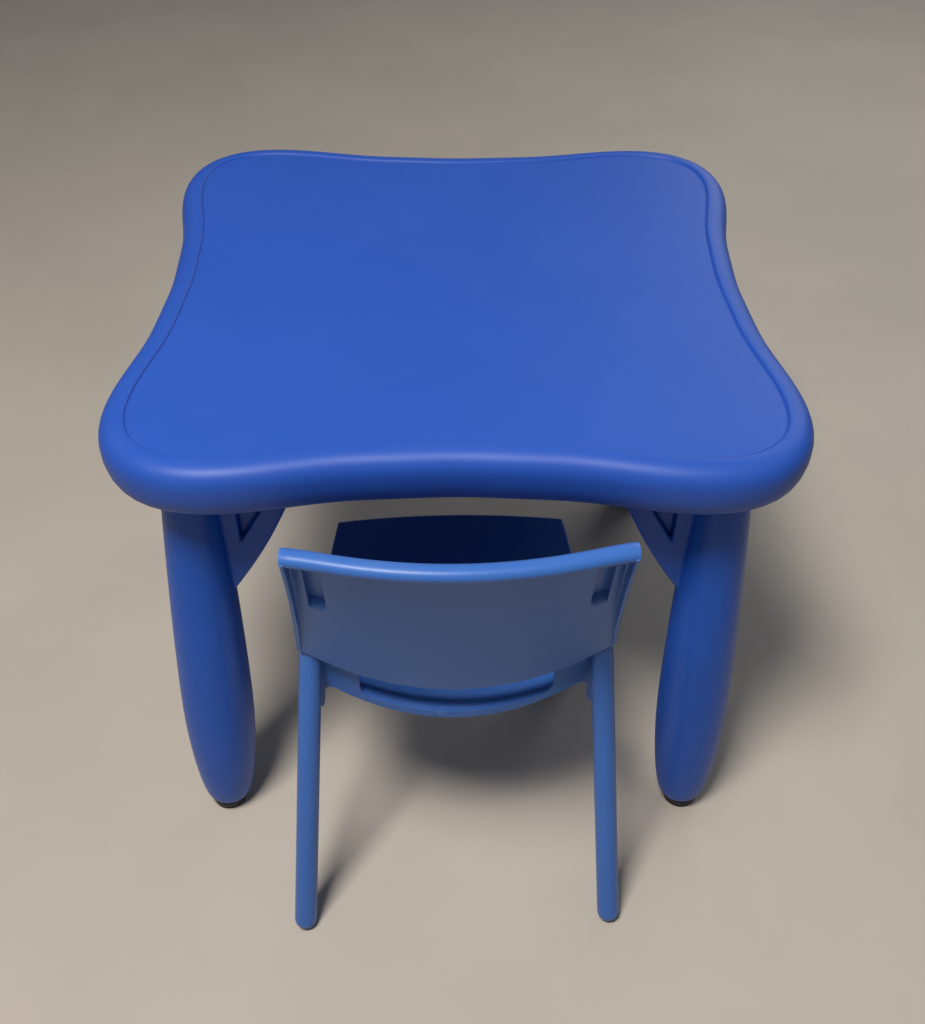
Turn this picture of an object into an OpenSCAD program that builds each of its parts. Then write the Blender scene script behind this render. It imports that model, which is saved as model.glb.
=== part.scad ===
// Children's wave-edged table with four splayed club legs on levelling feet,
// and one stacking chair moulded in one piece.  Millimetres, +Z up, floor at Z = 0.
// X runs across the chair, -Y is the side that the chair stands on.

/* [Tabletop] */
// Overall width and depth of the square top
table_w = 604; // [540:2:730]
// Height of the rim's highest line above the floor
table_h = 508; // [440:2:612]
// How far the flat panel lies below the rim
panel_recess = 2; // [1:0.5:4]
// Width of the rounded rim outside the panel
rim_w = 24; // [18:1:30]
// Height of the rim, top to lower lip
rim_h = 53; // [40:1:60]
// Wall thickness of the moulded top
top_wall = 4; // [3:0.5:6]
// How strongly the sides are waisted, as a share of the mean radius
waist = 0.175; // [0.12:0.005:0.2]
// How square the corners are, as a share of the mean radius
squareness = 0.044; // [0.02:0.002:0.05]
// Thickness of the stiffening ribs under the top
rib_t = 3; // [2:0.5:5]
// Distance between neighbouring ribs
rib_pitch = 66; // [50:2:90]

/* [Table legs] */
// How far the leg's axis stands in from the rim's widest line, at the top
leg_inset = 71; // [66:1:90]
// How far each foot stands out from its leg's top, along X and along Y
leg_splay = 18; // [0:0.2:25]
// Largest radius of the leg
leg_r_max = 35.4; // [30:0.2:38]
// Radius of the leg's lower end
leg_r_foot = 20; // [18:0.5:24]
// Radius of the leg's upper end
leg_r_top = 24; // [20:0.5:28]
// Height of the leg's thickest place above the floor
leg_bulge_z = 160; // [120:5:220]
// Wall thickness of the hollow leg
leg_wall = 3.5; // [2.5:0.5:5]
// Reach of each gusset, from the leg's axis
gusset_reach = 96; // [80:2:120]
// Height of each gusset
gusset_h = 136; // [110:2:160]
// Thickness of each gusset
gusset_t = 20; // [12:1:28]
// Radius of the flange on top of the leg
flange_r = 39; // [38:0.5:42]
// Thickness of the flange
flange_t = 6; // [4:0.5:8]

/* [Fasteners] */
// Radius of the circle of screws through a leg's flange
screw_circle_r = 32; // [31:0.5:33]
// Radius of a leg screw's shank
screw_r = 2.5; // [2:0.25:3]
// Length of a leg screw under its head
screw_l = 22; // [16:1:30]
// Outer radius of a threaded insert
insert_r = 4; // [3.5:0.25:5]
// Length of a threaded insert
insert_l = 14; // [10:1:18]

/* [Levelling feet] */
// Radius of the ribbed knob
knob_r = 19.5; // [16:0.5:22]
// Height of the ribbed knob
knob_h = 9.7; // [8:0.1:14]
// Number of grip ribs round the knob
knob_ribs = 28; // [16:2:40]
// Radius of the pad
pad_r = 17.5; // [14:0.5:20]
// Thickness of the pad
pad_h = 3.7; // [3:0.1:6]
// Radius of the levelling screw's stem
stem_r = 5; // [4:0.5:6]
// Length of the levelling screw's stem above the knob
stem_l = 42; // [34:1:60]
// Outer radius of the nut in the leg's lower end
nut_r = 9; // [8:0.5:10]
// Length of that nut
nut_l = 20; // [14:1:24]

/* [Chair] */
// Height of the seat's front edge above the floor
seat_h = 268; // [240:2:320]
// Largest width of the seat
seat_w = 262; // [240:2:290]
// How much narrower the seat is at its front edge
seat_taper = 24; // [12:2:48]
// Distance from the rear feet's centres to the seat's front edge
seat_reach = 309; // [280:1:340]
// Thickness of the moulded seat and back
shell_t = 4; // [3:0.5:6]
// Depth of the skirt under the seat's edge
skirt_h = 20; // [12:1:30]
// Height of the backrest's top line above the floor
back_top_z = 502; // [460:2:560]
// Width of the backrest
back_w = 266; // [240:2:290]
// Radius of the backrest's curve at its top
back_curve_r = 380; // [340:5:420]
// How far the backrest leans over its height
back_lean = 50; // [40:1:60]
// Depth of the flanges round the backrest's rear face
back_flange = 13; // [8:1:16]
// Radius of the rolled top rim
roll_r = 6.5; // [5:0.5:8]
// Width of the hand slot under the backrest
slot_w = 174; // [140:2:190]
// Radius of the chair's legs at the floor
chair_leg_r = 11; // [9:0.25:12]
// Radius of the chair's legs at their tops
chair_leg_top_r = 10; // [8.5:0.25:11]
// Distance between the centres of the rear feet
rear_feet_w = 305; // [285:1:330]
// Distance between the centres of the front feet
front_feet_w = 300; // [285:1:330]
// Distance between the rear and the front feet
feet_depth = 326; // [300:2:350]

/* [Chair's place] */
// Distance from the table's centre back to the chair's rear feet
chair_back_y = 397; // [380:1:520]
// How far the chair stands off the table's centre line, along X
chair_off_x = 1.5; // [-20:0.5:20]
// How far the chair is turned, in degrees
chair_turn = 1.25; // [-3:0.01:3]

/* [Hidden] */
$fn = 64;

// Colours
top_blue = [0.15, 0.30, 0.72];
chair_blue = [0.28, 0.45, 0.80];
black = [0.04, 0.04, 0.05];
brass = [0.75, 0.60, 0.30];
steel = [0.70, 0.71, 0.73];

// Clearances: between moving pieces, between a shaft and its bore, between a seated piece and its hole
gap = 0.3;
running_fit = 0.05;
seated_fit = 0.05;
overlap = 0.5;

// Levels
panel_z = table_h - panel_recess;
lip_z = table_h - rim_h;
flange_top_z = lip_z + 2;
knob_top_z = pad_h + gap + knob_h;
leg_foot_z = knob_top_z + gap;

// Leg axis at the flange and at the floor, as distances from the table's centre lines
leg_top_xy = table_w / 2 - leg_inset;
foot_xy = leg_top_xy + leg_splay;

// The chair's rear feet reach furthest back; the frame's origin is the centre of the whole set's footprint
chair_rear_y = chair_back_y + rear_feet_w / 2 * sin(abs(chair_turn)) + chair_leg_r;
set_y = (chair_rear_y - table_w / 2) / 2;

CORNERS = [[-1, -1], [1, -1], [-1, 1], [1, 1]];

// Puts a table-centred piece into the set's frame
module in_set() {
    translate([0, set_y, 0])
        children();
}

// ---------- the wave outline ----------

outline_n = 120;
third_wave = 0.010;
// Radius of the outline, as a share of its mean radius
function wave(a) = 1 - waist * cos(4 * a) + squareness * cos(8 * a) - third_wave * cos(12 * a);
function wave_slope(a) = 4 * waist * sin(4 * a) - 8 * squareness * sin(8 * a) + 12 * third_wave * sin(12 * a);
wave_reach = max([for (i = [0 : 359]) wave(i) * cos(i)]);
mean_r = (table_w / 2 - rim_w) / wave_reach;
function normal_of(t) = [t[1], -t[0]] / norm(t);
function outline_normal(a) = normal_of([
    wave_slope(a) * cos(a) - wave(a) * sin(a),
    wave_slope(a) * sin(a) + wave(a) * cos(a)
]);
// A point on the panel's edge line, moved outwards by o
function outline_point(a, o) = mean_r * wave(a) * [cos(a), sin(a)] + o * outline_normal(a);
function outline_ring(o) = [for (i = [0 : outline_n - 1]) outline_point(i * 360 / outline_n, o)];

// ---------- the tabletop's section ----------

// Each entry is [distance outside the panel's edge line, height]
rim_shoulder = 21;
rim_belly_z = table_h - rim_shoulder;
// Where the rim's crown starts, and how round its shoulder and its underside are (1 is an ellipse)
crown_start = 3;
shoulder_power = 0.85;
underside_power = 0.9;
// The lip that the rim stands on: its place, its edge's rounding, and the height of its inner slope
lip_w = 8;
lip_edge = 2;
lip_slope_h = 4;
function rim_top_point(a) = [
    rim_w - (rim_w - crown_start) * (1 - pow(sin(a), shoulder_power)),
    rim_belly_z + rim_shoulder * pow(cos(a), shoulder_power)
];
function rim_low_point(t) = [
    rim_w - (rim_w - lip_w - lip_edge) * (1 - cos(90 * t)),
    rim_belly_z - (rim_belly_z - lip_z - lip_edge) * sin(90 * t) ^ underside_power
];
rim_outer = [
    [-1, panel_z],
    [0.5, panel_z + panel_recess * 0.4],
    for (a = [0 : 11.25 : 90]) rim_top_point(a),
    for (t = [0.2 : 0.2 : 1]) rim_low_point(t),
    [lip_w, lip_z]
];
rim_inner = [
    [lip_w - lip_edge, lip_z],
    [lip_w, lip_z + lip_slope_h],
    [rim_w - top_wall, rim_belly_z],
    [rim_w * 0.55, rim_belly_z + rim_shoulder * 0.6],
    [0, panel_z - top_wall]
];

// A closed shell: the section's rings from the panel's edge round the rim to the panel's underside
module rim_and_panel() {
    section = concat(rim_outer, rim_inner);
    rings = len(section);
    n = outline_n;
    ring_points = [for (s = section) for (p = outline_ring(s[0])) [p[0], p[1], s[1]]];
    centres = [[0, 0, section[0][1]], [0, 0, section[rings - 1][1]]];
    sides = [
        for (k = [0 : rings - 2])
            for (i = [0 : n - 1])
                [k * n + i, k * n + (i + 1) % n, (k + 1) * n + (i + 1) % n, (k + 1) * n + i]
    ];
    triangles = [for (q = sides) each [[q[0], q[1], q[2]], [q[0], q[2], q[3]]]];
    // The flat faces are fans round their centres, because a waisted outline isn't convex
    panel_top = [for (i = [0 : n - 1]) [(i + 1) % n, i, rings * n]];
    panel_under = [for (i = [0 : n - 1]) [(rings - 1) * n + i, (rings - 1) * n + (i + 1) % n, rings * n + 1]];
    polyhedron(
        points = concat(ring_points, centres),
        faces = concat(panel_top, panel_under, triangles),
        convexity = 6
    );
}

// The ribs stop short of the rim's inner wall, and stand higher than the lip
rib_end_gap = 8;
rib_rise = 6;
module top_ribs() {
    rib_low_z = flange_top_z + rib_rise;
    rib_high_z = panel_z - top_wall + overlap;
    intersection() {
        translate([0, 0, rib_low_z])
            linear_extrude(rib_high_z - rib_low_z)
                polygon(outline_ring(-rib_end_gap));
        for (k = [-3 : 3]) {
            translate([k * rib_pitch - rib_t / 2, -table_w / 2, rib_low_z])
                cube([rib_t, table_w, rib_high_z - rib_low_z]);
            translate([-table_w / 2, k * rib_pitch - rib_t / 2, rib_low_z])
                cube([table_w, rib_t, rib_high_z - rib_low_z]);
        }
    }
}

// Where the screws of every leg stand
screw_places = [
    for (c = CORNERS)
        for (a = [45 : 90 : 315])
            [c[0] * leg_top_xy + screw_circle_r * cos(a), c[1] * leg_top_xy + screw_circle_r * sin(a)]
];
module at_screws() {
    for (p = screw_places)
        translate([p[0], p[1], 0])
            children();
}
boss_wall = 3;
boss_r = insert_r + boss_wall;

module tabletop() {
    boss_h = panel_z - top_wall + overlap - flange_top_z;
    hole_l = screw_l - flange_t + boss_wall;
    color(top_blue)
        in_set()
            difference() {
                union() {
                    rim_and_panel();
                    top_ribs();
                    at_screws() translate([0, 0, flange_top_z]) cylinder(r = boss_r, h = boss_h);
                }
                at_screws() translate([0, 0, flange_top_z - 1])
                    cylinder(r = insert_r + seated_fit, h = insert_l + 1);
                at_screws() translate([0, 0, flange_top_z - 1])
                    cylinder(r = screw_r + gap, h = hole_l + 1);
            }
}

module leg_inserts() {
    color(brass)
        in_set()
            at_screws() translate([0, 0, flange_top_z + gap])
                difference() {
                    cylinder(r = insert_r, h = insert_l - gap);
                    translate([0, 0, -1]) cylinder(r = screw_r + running_fit, h = insert_l + 2);
                }
}

module leg_screws() {
    head_r = screw_r * 1.9;
    head_h = screw_r * 1.1;
    head_z = flange_top_z - flange_t - head_h;
    color(steel)
        in_set()
            at_screws() translate([0, 0, head_z])
                difference() {
                    union() {
                        cylinder(r = head_r, h = head_h);
                        cylinder(r = screw_r, h = head_h + screw_l);
                    }
                    translate([0, 0, -1]) cylinder(r = screw_r * 0.6, h = head_h, $fn = 6);
                }
}

// ---------- a table leg ----------

function leg_radius(z) =
    z < leg_bulge_z
        ? leg_r_foot + (leg_r_max - leg_r_foot) * sqrt(sin(90 * (z - leg_foot_z) / (leg_bulge_z - leg_foot_z)))
        : leg_r_max - (leg_r_max - leg_r_top) * pow((z - leg_bulge_z) / (flange_top_z - leg_bulge_z), 1.5);
leg_steps = 6;
leg_heights = [
    for (i = [0 : leg_steps]) leg_foot_z + (leg_bulge_z - leg_foot_z) * pow(i / leg_steps, 1.8),
    for (i = [1 : leg_steps]) leg_bulge_z + (flange_top_z - leg_bulge_z) * i / leg_steps
];
// The leg is solid from its foot to this height, to hold the nut
plug_h = nut_l + 8;
leg_lean = atan(leg_splay * sqrt(2) / flange_top_z);

// Stands a child made upright over the foot along the leg's leaning axis; the lean is towards +X +Y
module along_leg() {
    translate([leg_splay, leg_splay, 0])
        rotate(-leg_lean, [-1, 1, 0])
            children();
}

// The leaning club runs past the flange, where it is cut off level
cut_off = 12;
module leg_solid(inset, low_z) {
    heights = [low_z, for (z = leg_heights) if (z > low_z + 1) z];
    rotate_extrude()
        polygon([
            [0, low_z],
            for (z = heights) [leg_radius(max(z, leg_foot_z)) - inset, z],
            [leg_r_top - inset, flange_top_z + cut_off],
            [0, flange_top_z + cut_off]
        ]);
}

// One gusset, reaching from the leg's axis towards -X, with a bowed edge and a three-cornered pocket in each face
gusset_bow = 3;
gusset_edge_h = 8;
gusset_foot_x = leg_r_max * 0.75;
gusset_root_h = 30;
window_stile = 14;
window_top_rail = 16;
window_sill = 58;
window_point = 22;
window_web_t = 3;
module gusset() {
    low_z = flange_top_z - gusset_h;
    window_x = -leg_r_top - window_stile;
    window_high = flange_top_z - window_top_rail;
    pocket_depth = (gusset_t - window_web_t) / 2;
    rotate([90, 0, 0])
        difference() {
            translate([0, 0, -gusset_t / 2])
                linear_extrude(gusset_t)
                    polygon([
                        [0, low_z - gusset_root_h],
                        [-gusset_foot_x, low_z],
                        [-(gusset_foot_x + gusset_reach) / 2 - gusset_bow, low_z + gusset_h / 2],
                        [-gusset_reach, flange_top_z - gusset_edge_h],
                        [-gusset_reach, flange_top_z],
                        [0, flange_top_z]
                    ]);
            for (low_face = [-gusset_t / 2 - 1, gusset_t / 2 - pocket_depth])
                translate([0, 0, low_face])
                    linear_extrude(pocket_depth + 1)
                        polygon([
                            [window_x, low_z + window_sill],
                            [window_x, window_high],
                            [-gusset_reach + window_point, window_high]
                        ]);
        }
}

// The leg of the +X +Y corner, with its axis over the origin at the flange
module leg() {
    difference() {
        intersection() {
            union() {
                along_leg() leg_solid(0, leg_foot_z);
                gusset();
                rotate(90) gusset();
                translate([0, 0, flange_top_z - flange_t]) cylinder(r = flange_r, h = flange_t);
            }
            translate([-table_w / 2, -table_w / 2, leg_foot_z])
                cube([table_w, table_w, flange_top_z - leg_foot_z]);
        }
        along_leg() leg_solid(leg_wall, leg_foot_z + plug_h);
        for (a = [45 : 90 : 315])
            translate([screw_circle_r * cos(a), screw_circle_r * sin(a), flange_top_z - flange_t - 1])
                cylinder(r = screw_r + gap, h = flange_t + 2);
        // The nut's hole opens into the hollow, so that the levelling screw can pass
        translate([leg_splay, leg_splay, leg_foot_z - 1])
            cylinder(r = nut_r + seated_fit, h = stem_l);
    }
}

module table_leg(c) {
    color(top_blue)
        in_set()
            translate([c[0] * leg_top_xy, c[1] * leg_top_xy, 0])
                mirror([c[0] < 0 ? 1 : 0, 0, 0])
                    mirror([0, c[1] < 0 ? 1 : 0, 0])
                        leg();
}

// ---------- a levelling foot ----------

module at_foot(c) {
    in_set()
        translate([c[0] * foot_xy, c[1] * foot_xy, 0])
            children();
}

module foot_nut(c) {
    color(brass)
        at_foot(c)
            translate([0, 0, leg_foot_z + 2])
                difference() {
                    cylinder(r = nut_r, h = nut_l);
                    translate([0, 0, -1]) cylinder(r = stem_r + running_fit, h = nut_l + 2);
                }
}

// The pad's pin turns in a socket under the knob
socket_r = 7;
socket_h = 5;
knob_taper = 1.5;
grip_r = 1.1;
pad_taper = 0.8;
module foot_screw(c) {
    knob_z = pad_h + gap;
    color(black)
        at_foot(c)
            translate([0, 0, knob_z])
                difference() {
                    union() {
                        cylinder(r1 = knob_r - knob_taper, r2 = knob_r, h = knob_h);
                        cylinder(r = stem_r, h = knob_h + stem_l);
                        for (i = [0 : knob_ribs - 1])
                            rotate(i * 360 / knob_ribs)
                                translate([knob_r - 1, 0, 1])
                                    cylinder(r = grip_r, h = knob_h - 2, $fn = 16);
                    }
                    translate([0, 0, -1]) cylinder(r = socket_r + running_fit, h = socket_h + gap + 1);
                }
}

module foot_pad(c) {
    color(black)
        at_foot(c)
            union() {
                cylinder(r1 = pad_r - pad_taper, r2 = pad_r, h = pad_h);
                cylinder(r = socket_r, h = pad_h + socket_h);
            }
}

// ---------- the chair ----------

// The chair is drawn with its rear feet at Y = 0 and its seat towards +Y
module in_chair_place() {
    in_set()
        translate([chair_off_x, -chair_back_y, 0])
            rotate(chair_turn)
                children();
}

back_axis_y = back_curve_r + 1;
back_low_z = 300;
back_low_r = back_curve_r - back_lean;
seat_drop = 8;
seat_rear_r = back_low_r - 10;
seat_rear_y = back_axis_y - seat_rear_r;
seat_len = seat_reach - seat_rear_y;
seat_tilt = atan(seat_drop / seat_len);
seat_rear_z = seat_h - seat_drop;
rear_wall_w = back_w - 12;
front_r = 800;
front_bow = 8;
// The seat's long sides are arcs, widest at this share of its depth
widest_share = 0.42;
side_run = (1 - widest_share) * seat_reach;
side_r = (side_run ^ 2 + (seat_taper / 2) ^ 2) / seat_taper;

module seat_sides(e) {
    intersection_for (s = [-1, 1])
        translate([-s * (side_r - seat_w / 2), seat_reach * widest_share])
            circle(r = side_r - e, $fn = 180);
}

// The seat's outline, set in from its edge by e
module seat_plan(e) {
    intersection() {
        translate([0, back_axis_y]) circle(r = seat_rear_r - e, $fn = 180);
        translate([0, seat_reach + front_bow - front_r]) circle(r = front_r - e, $fn = 180);
        seat_sides(e);
    }
}

// The skirt stops in the web at each end of the rear wall
module seat_pan() {
    skirt_gap_w = rear_wall_w - web_w;
    translate([0, seat_reach, seat_h])
        rotate([seat_tilt, 0, 0])
            translate([0, -seat_reach, 0]) {
                translate([0, 0, -shell_t]) linear_extrude(shell_t) seat_plan(0);
                translate([0, 0, -skirt_h])
                    linear_extrude(skirt_h - 1)
                        difference() {
                            seat_plan(0);
                            seat_plan(shell_t);
                            translate([-skirt_gap_w / 2, -60]) square([skirt_gap_w, 160]);
                        }
            }
}

// The curved back is part of a cone round an upright axis in front of it
module round_back_axis() {
    translate([0, back_axis_y, 0])
        rotate_extrude(angle = 60, start = 240, $fn = 180)
            children();
}

function back_r(z) = back_low_r + back_lean * (z - back_low_z) / (back_top_z - roll_r - back_low_z);

// The back's wall, standing proud of its rear face by low_depth at its foot and by high_depth at its top
module back_slab(low_depth, high_depth) {
    high_z = back_top_z - roll_r;
    round_back_axis()
        polygon([
            [back_r(back_low_z) - shell_t, back_low_z],
            [back_r(back_low_z) + low_depth, back_low_z],
            [back_r(high_z) + high_depth, high_z],
            [back_r(high_z) - shell_t, high_z]
        ]);
}

module between_x(half_w) {
    translate([-half_w, -100, 200]) cube([2 * half_w, 400, 320]);
}

low_edge_rise = 4;
low_edge_slope = 53;
cut_w = 400;
module backrest() {
    difference() {
        intersection() {
            union() {
                back_slab(0, 0);
                difference() {
                    back_slab(0, back_flange);
                    between_x(back_w / 2 - shell_t);
                }
                round_back_axis()
                    translate([back_r(back_top_z - roll_r) + 1, back_top_z - roll_r])
                        circle(r = roll_r);
            }
            between_x(back_w / 2);
        }
        // The lower edge dips towards the middle
        translate([-cut_w / 2, back_axis_y - back_low_r, back_low_z + low_edge_rise])
            rotate([low_edge_slope, 0, 0])
                translate([0, -60, -80])
                    cube([cut_w, 200, 80]);
    }
}

// The wall between the seat's rear edge and the backrest, open in the middle as a hand slot.
// Its lower edge ends beside each leg in a web that hangs lower than the rest.
web_drop = 22;
wall_drop = 10;
web_w = 11;
arch_r = 7;
wall_lap_h = 45;
slot_top_rise = 14;
module rear_wall() {
    web_low_z = seat_rear_z - web_drop;
    wall_low_z = seat_rear_z - wall_drop;
    wall_high_z = back_low_z + wall_lap_h;
    slot_low_z = seat_rear_z - 2;
    arch_x = rear_wall_w / 2 - web_w - arch_r;
    difference() {
        intersection() {
            round_back_axis()
                polygon([
                    [seat_rear_r - shell_t, web_low_z],
                    [seat_rear_r, web_low_z],
                    [seat_rear_r, seat_rear_z],
                    [back_r(wall_high_z) - 1, wall_high_z],
                    [back_r(wall_high_z) - shell_t - 1, wall_high_z],
                    [seat_rear_r - shell_t, seat_rear_z]
                ]);
            between_x(rear_wall_w / 2);
        }
        translate([-slot_w / 2, -50, slot_low_z])
            cube([slot_w, 200, back_low_z + slot_top_rise - slot_low_z]);
        translate([-arch_x, -50, web_low_z - 1])
            cube([2 * arch_x, 200, wall_low_z - web_low_z + 1]);
        for (s = [-1, 1]) {
            translate([s * arch_x, 150, wall_low_z - arch_r])
                rotate([90, 0, 0])
                    cylinder(r = arch_r, h = 200);
            translate([s * arch_x - arch_r, -50, web_low_z - 1])
                cube([2 * arch_r, 200, wall_low_z - arch_r - web_low_z + 1]);
        }
    }
}

// Turns and moves an upright child so that it runs from one point towards another
module aim(from, to) {
    d = to - from;
    translate(from)
        rotate([0, acos(d[2] / norm(d)), atan2(d[1], d[0])])
            children();
}

// Each rear leg ends just under the backrest's lower corner, and each front leg inside the seat's pan
rear_top_z = back_low_z + 26;
rear_top_x = back_w / 2 - 5;
rear_top_y = back_axis_y - sqrt(back_r(rear_top_z) ^ 2 - rear_top_x ^ 2) + chair_leg_top_r + shell_t;
rear_leg_top = [rear_top_x, rear_top_y, rear_top_z];
front_top_setback = 34;
front_top_inset = 6;
front_leg_top = [
    (seat_w - seat_taper) / 2 - front_top_inset,
    seat_reach - front_top_setback,
    seat_h - shell_t - overlap
];
foot_lift = chair_leg_r;
// The glide is the lowest cap of the leg's ball end, on a stem in the leg's bore
glide_share = 0.7;
glide_level = -glide_share * chair_leg_r;
glide_angle = asin(glide_share);
glide_stem_r = 4.5;
glide_stem_top = 12;

chair_feet = [
    [-front_feet_w / 2, feet_depth], [front_feet_w / 2, feet_depth],
    [-rear_feet_w / 2, 0], [rear_feet_w / 2, 0]
];
function foot_of(f) = [f[0], f[1], foot_lift];
function top_of(f) = f[1] > 0
    ? [sign(f[0]) * front_leg_top[0], front_leg_top[1], front_leg_top[2]]
    : [sign(f[0]) * rear_leg_top[0], rear_leg_top[1], rear_leg_top[2]];

// A round leg that narrows upwards, with a ball end that is bored for its glide
module chair_leg(f) {
    leg_l = norm(top_of(f) - foot_of(f));
    bore_r = glide_stem_r + seated_fit;
    aim(foot_of(f), top_of(f))
        rotate_extrude()
            polygon([
                [bore_r, glide_level],
                for (t = [1 : -0.2 : 0]) chair_leg_r * [cos(t * glide_angle), -sin(t * glide_angle)],
                [chair_leg_top_r, leg_l],
                [0, leg_l],
                [0, glide_stem_top + gap],
                [bore_r, glide_stem_top + gap]
            ]);
}

module chair_shell() {
    color(chair_blue)
        in_chair_place() {
            seat_pan();
            backrest();
            rear_wall();
            for (f = chair_feet) chair_leg(f);
        }
}

module chair_glide(f) {
    color(black)
        in_chair_place()
            aim(foot_of(f), top_of(f))
                rotate_extrude()
                    polygon([
                        for (t = [0 : 0.2 : 1])
                            let (a = -90 + t * (90 - glide_angle))
                                chair_leg_r * [cos(a), sin(a)],
                        [glide_stem_r, glide_level],
                        [glide_stem_r, glide_stem_top],
                        [0, glide_stem_top]
                    ]);
}

tabletop();
table_leg([-1, -1]);  // leg_front_left
table_leg([1, -1]);  // leg_front_right
table_leg([-1, 1]);  // leg_rear_left
table_leg([1, 1]);  // leg_rear_right
leg_screws();
leg_inserts();
foot_nut([-1, -1]);  // foot_nut_front_left
foot_nut([1, -1]);  // foot_nut_front_right
foot_nut([-1, 1]);  // foot_nut_rear_left
foot_nut([1, 1]);  // foot_nut_rear_right
foot_screw([-1, -1]);  // foot_screw_front_left
foot_screw([1, -1]);  // foot_screw_front_right
foot_screw([-1, 1]);  // foot_screw_rear_left
foot_screw([1, 1]);  // foot_screw_rear_right
foot_pad([-1, -1]);  // foot_pad_front_left
foot_pad([1, -1]);  // foot_pad_front_right
foot_pad([-1, 1]);  // foot_pad_rear_left
foot_pad([1, 1]);  // foot_pad_rear_right
chair_shell();
chair_glide(chair_feet[0]);  // chair_glide_front_left
chair_glide(chair_feet[1]);  // chair_glide_front_right
chair_glide(chair_feet[2]);  // chair_glide_rear_left
chair_glide(chair_feet[3]);  // chair_glide_rear_right
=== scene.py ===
# %% [markdown]
# # A wave-edged children's table and its stacking chair
#
# The table is a rotomoulded blue square with waisted sides, four splayed club legs and black
# screw feet.  The chair is one injection-moulded shell on round legs.  Every cell below makes
# one piece or one finish, and says first what that piece is on the real object.
#
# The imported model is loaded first.  It fixes every size and every moving body, and the pieces
# made here are dressed over it.

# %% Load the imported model
import math

import bpy
from mathutils import Euler, Matrix, Vector


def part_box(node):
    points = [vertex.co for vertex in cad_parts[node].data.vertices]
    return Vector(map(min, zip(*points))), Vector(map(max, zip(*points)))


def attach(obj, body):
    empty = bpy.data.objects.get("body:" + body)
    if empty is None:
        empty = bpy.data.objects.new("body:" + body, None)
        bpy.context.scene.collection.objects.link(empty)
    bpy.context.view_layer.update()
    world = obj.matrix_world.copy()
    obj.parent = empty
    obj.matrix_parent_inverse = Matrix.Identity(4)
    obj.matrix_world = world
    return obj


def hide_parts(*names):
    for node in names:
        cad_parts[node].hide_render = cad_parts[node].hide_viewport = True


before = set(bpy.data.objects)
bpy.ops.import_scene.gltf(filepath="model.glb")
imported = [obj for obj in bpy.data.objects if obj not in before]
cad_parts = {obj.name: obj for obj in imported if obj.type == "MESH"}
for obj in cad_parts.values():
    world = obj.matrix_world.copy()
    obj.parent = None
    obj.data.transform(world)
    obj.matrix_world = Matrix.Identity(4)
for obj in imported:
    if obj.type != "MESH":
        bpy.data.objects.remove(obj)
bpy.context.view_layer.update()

# %% [markdown]
# ## Sizes
#
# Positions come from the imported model's own boxes wherever a box can give them.  The few sizes
# that no box shows, such as a wall thickness, are written here once, in millimetres.

# %% Sizes of the table
MM = 0.001
CORNERS = {
    "front_left": (-1, -1),
    "front_right": (1, -1),
    "rear_left": (-1, 1),
    "rear_right": (1, 1),
}
top_low, top_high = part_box("tabletop")
table_x = (top_low.x + top_high.x) / 2
table_y = (top_low.y + top_high.y) / 2
table_half = (top_high.x - top_low.x) / 2 / MM
rim_top_z = top_high.z / MM
lip_z = top_low.z / MM
PANEL_RECESS = 2
panel_z = rim_top_z - PANEL_RECESS
rim_w = 24
lip_w = 8
top_wall = 4
print("table centre y", round(table_y, 4), "top", rim_top_z, "lip", lip_z)

# %% Sizes of the chair
chair_back_y = 397
chair_off_x = 1.5
chair_turn = math.radians(1.25)
back_axis_y = 381
back_low_z = 300
back_low_r = 330
back_lean = 50
roll_r = 6.5
back_top_z = 502
back_half = 133
seat_h = 268
seat_reach = 309
seat_rear_r = 320
seat_half = 131
seat_taper = 24
WIDEST_SHARE = 0.42
seat_side_r = ((1 - WIDEST_SHARE) ** 2 * seat_reach**2 + (seat_taper / 2) ** 2) / seat_taper
seat_front_r = 800
seat_front_bow = 8
shell_t = 4
skirt_h = 20
SKIRT_GAP_HALF = 121.5
PAN_SHY = 1.5

# %% [markdown]
# ## Helpers for modelling
#
# Most pieces here are lofts: a ring of vertices is extruded again and again, and each new ring is
# put where the piece's section says.  That is the extrude-and-place of ordinary edit mode, done
# by name instead of by mouse.  Everything is deselected first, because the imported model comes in
# selected.

# %% Modelling helpers


def object_mode_with(*chosen):
    """Leaves edit mode and selects only the given objects; the last is active."""
    if bpy.context.object and bpy.context.object.mode != "OBJECT":
        bpy.ops.object.mode_set(mode="OBJECT")
    bpy.ops.object.select_all(action="DESELECT")
    for obj in chosen:
        obj.select_set(True)
        bpy.context.view_layer.objects.active = obj


def loft(name, rings, close_start=True, close_end=True):
    """A skin through rings of as many points each, in millimetres."""
    object_mode_with()
    bpy.ops.mesh.primitive_circle_add(vertices=len(rings[0]), radius=1, fill_type="NOTHING")
    obj = bpy.context.object
    obj.name = name
    obj.data.name = name
    verts = obj.data.vertices
    ring = list(range(len(rings[0])))
    for i, p in zip(ring, rings[0]):
        verts[i].co = Vector(p) * MM
    bpy.ops.object.mode_set(mode="EDIT")
    bpy.ops.mesh.select_all(action="SELECT")
    if close_start:
        bpy.ops.mesh.edge_face_add()
    for points in rings[1:]:
        bpy.ops.mesh.extrude_edges_move()
        bpy.ops.object.mode_set(mode="OBJECT")
        verts = obj.data.vertices
        twin = {tuple(v.co): v.index for v in verts if v.select}
        ring = [twin[tuple(verts[i].co)] for i in ring]
        for i, p in zip(ring, points):
            verts[i].co = Vector(p) * MM
        bpy.ops.object.mode_set(mode="EDIT")
    if close_end:
        bpy.ops.mesh.edge_face_add()
    bpy.ops.mesh.select_all(action="SELECT")
    bpy.ops.mesh.normals_make_consistent(inside=False)
    bpy.ops.object.mode_set(mode="OBJECT")
    return obj


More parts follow.
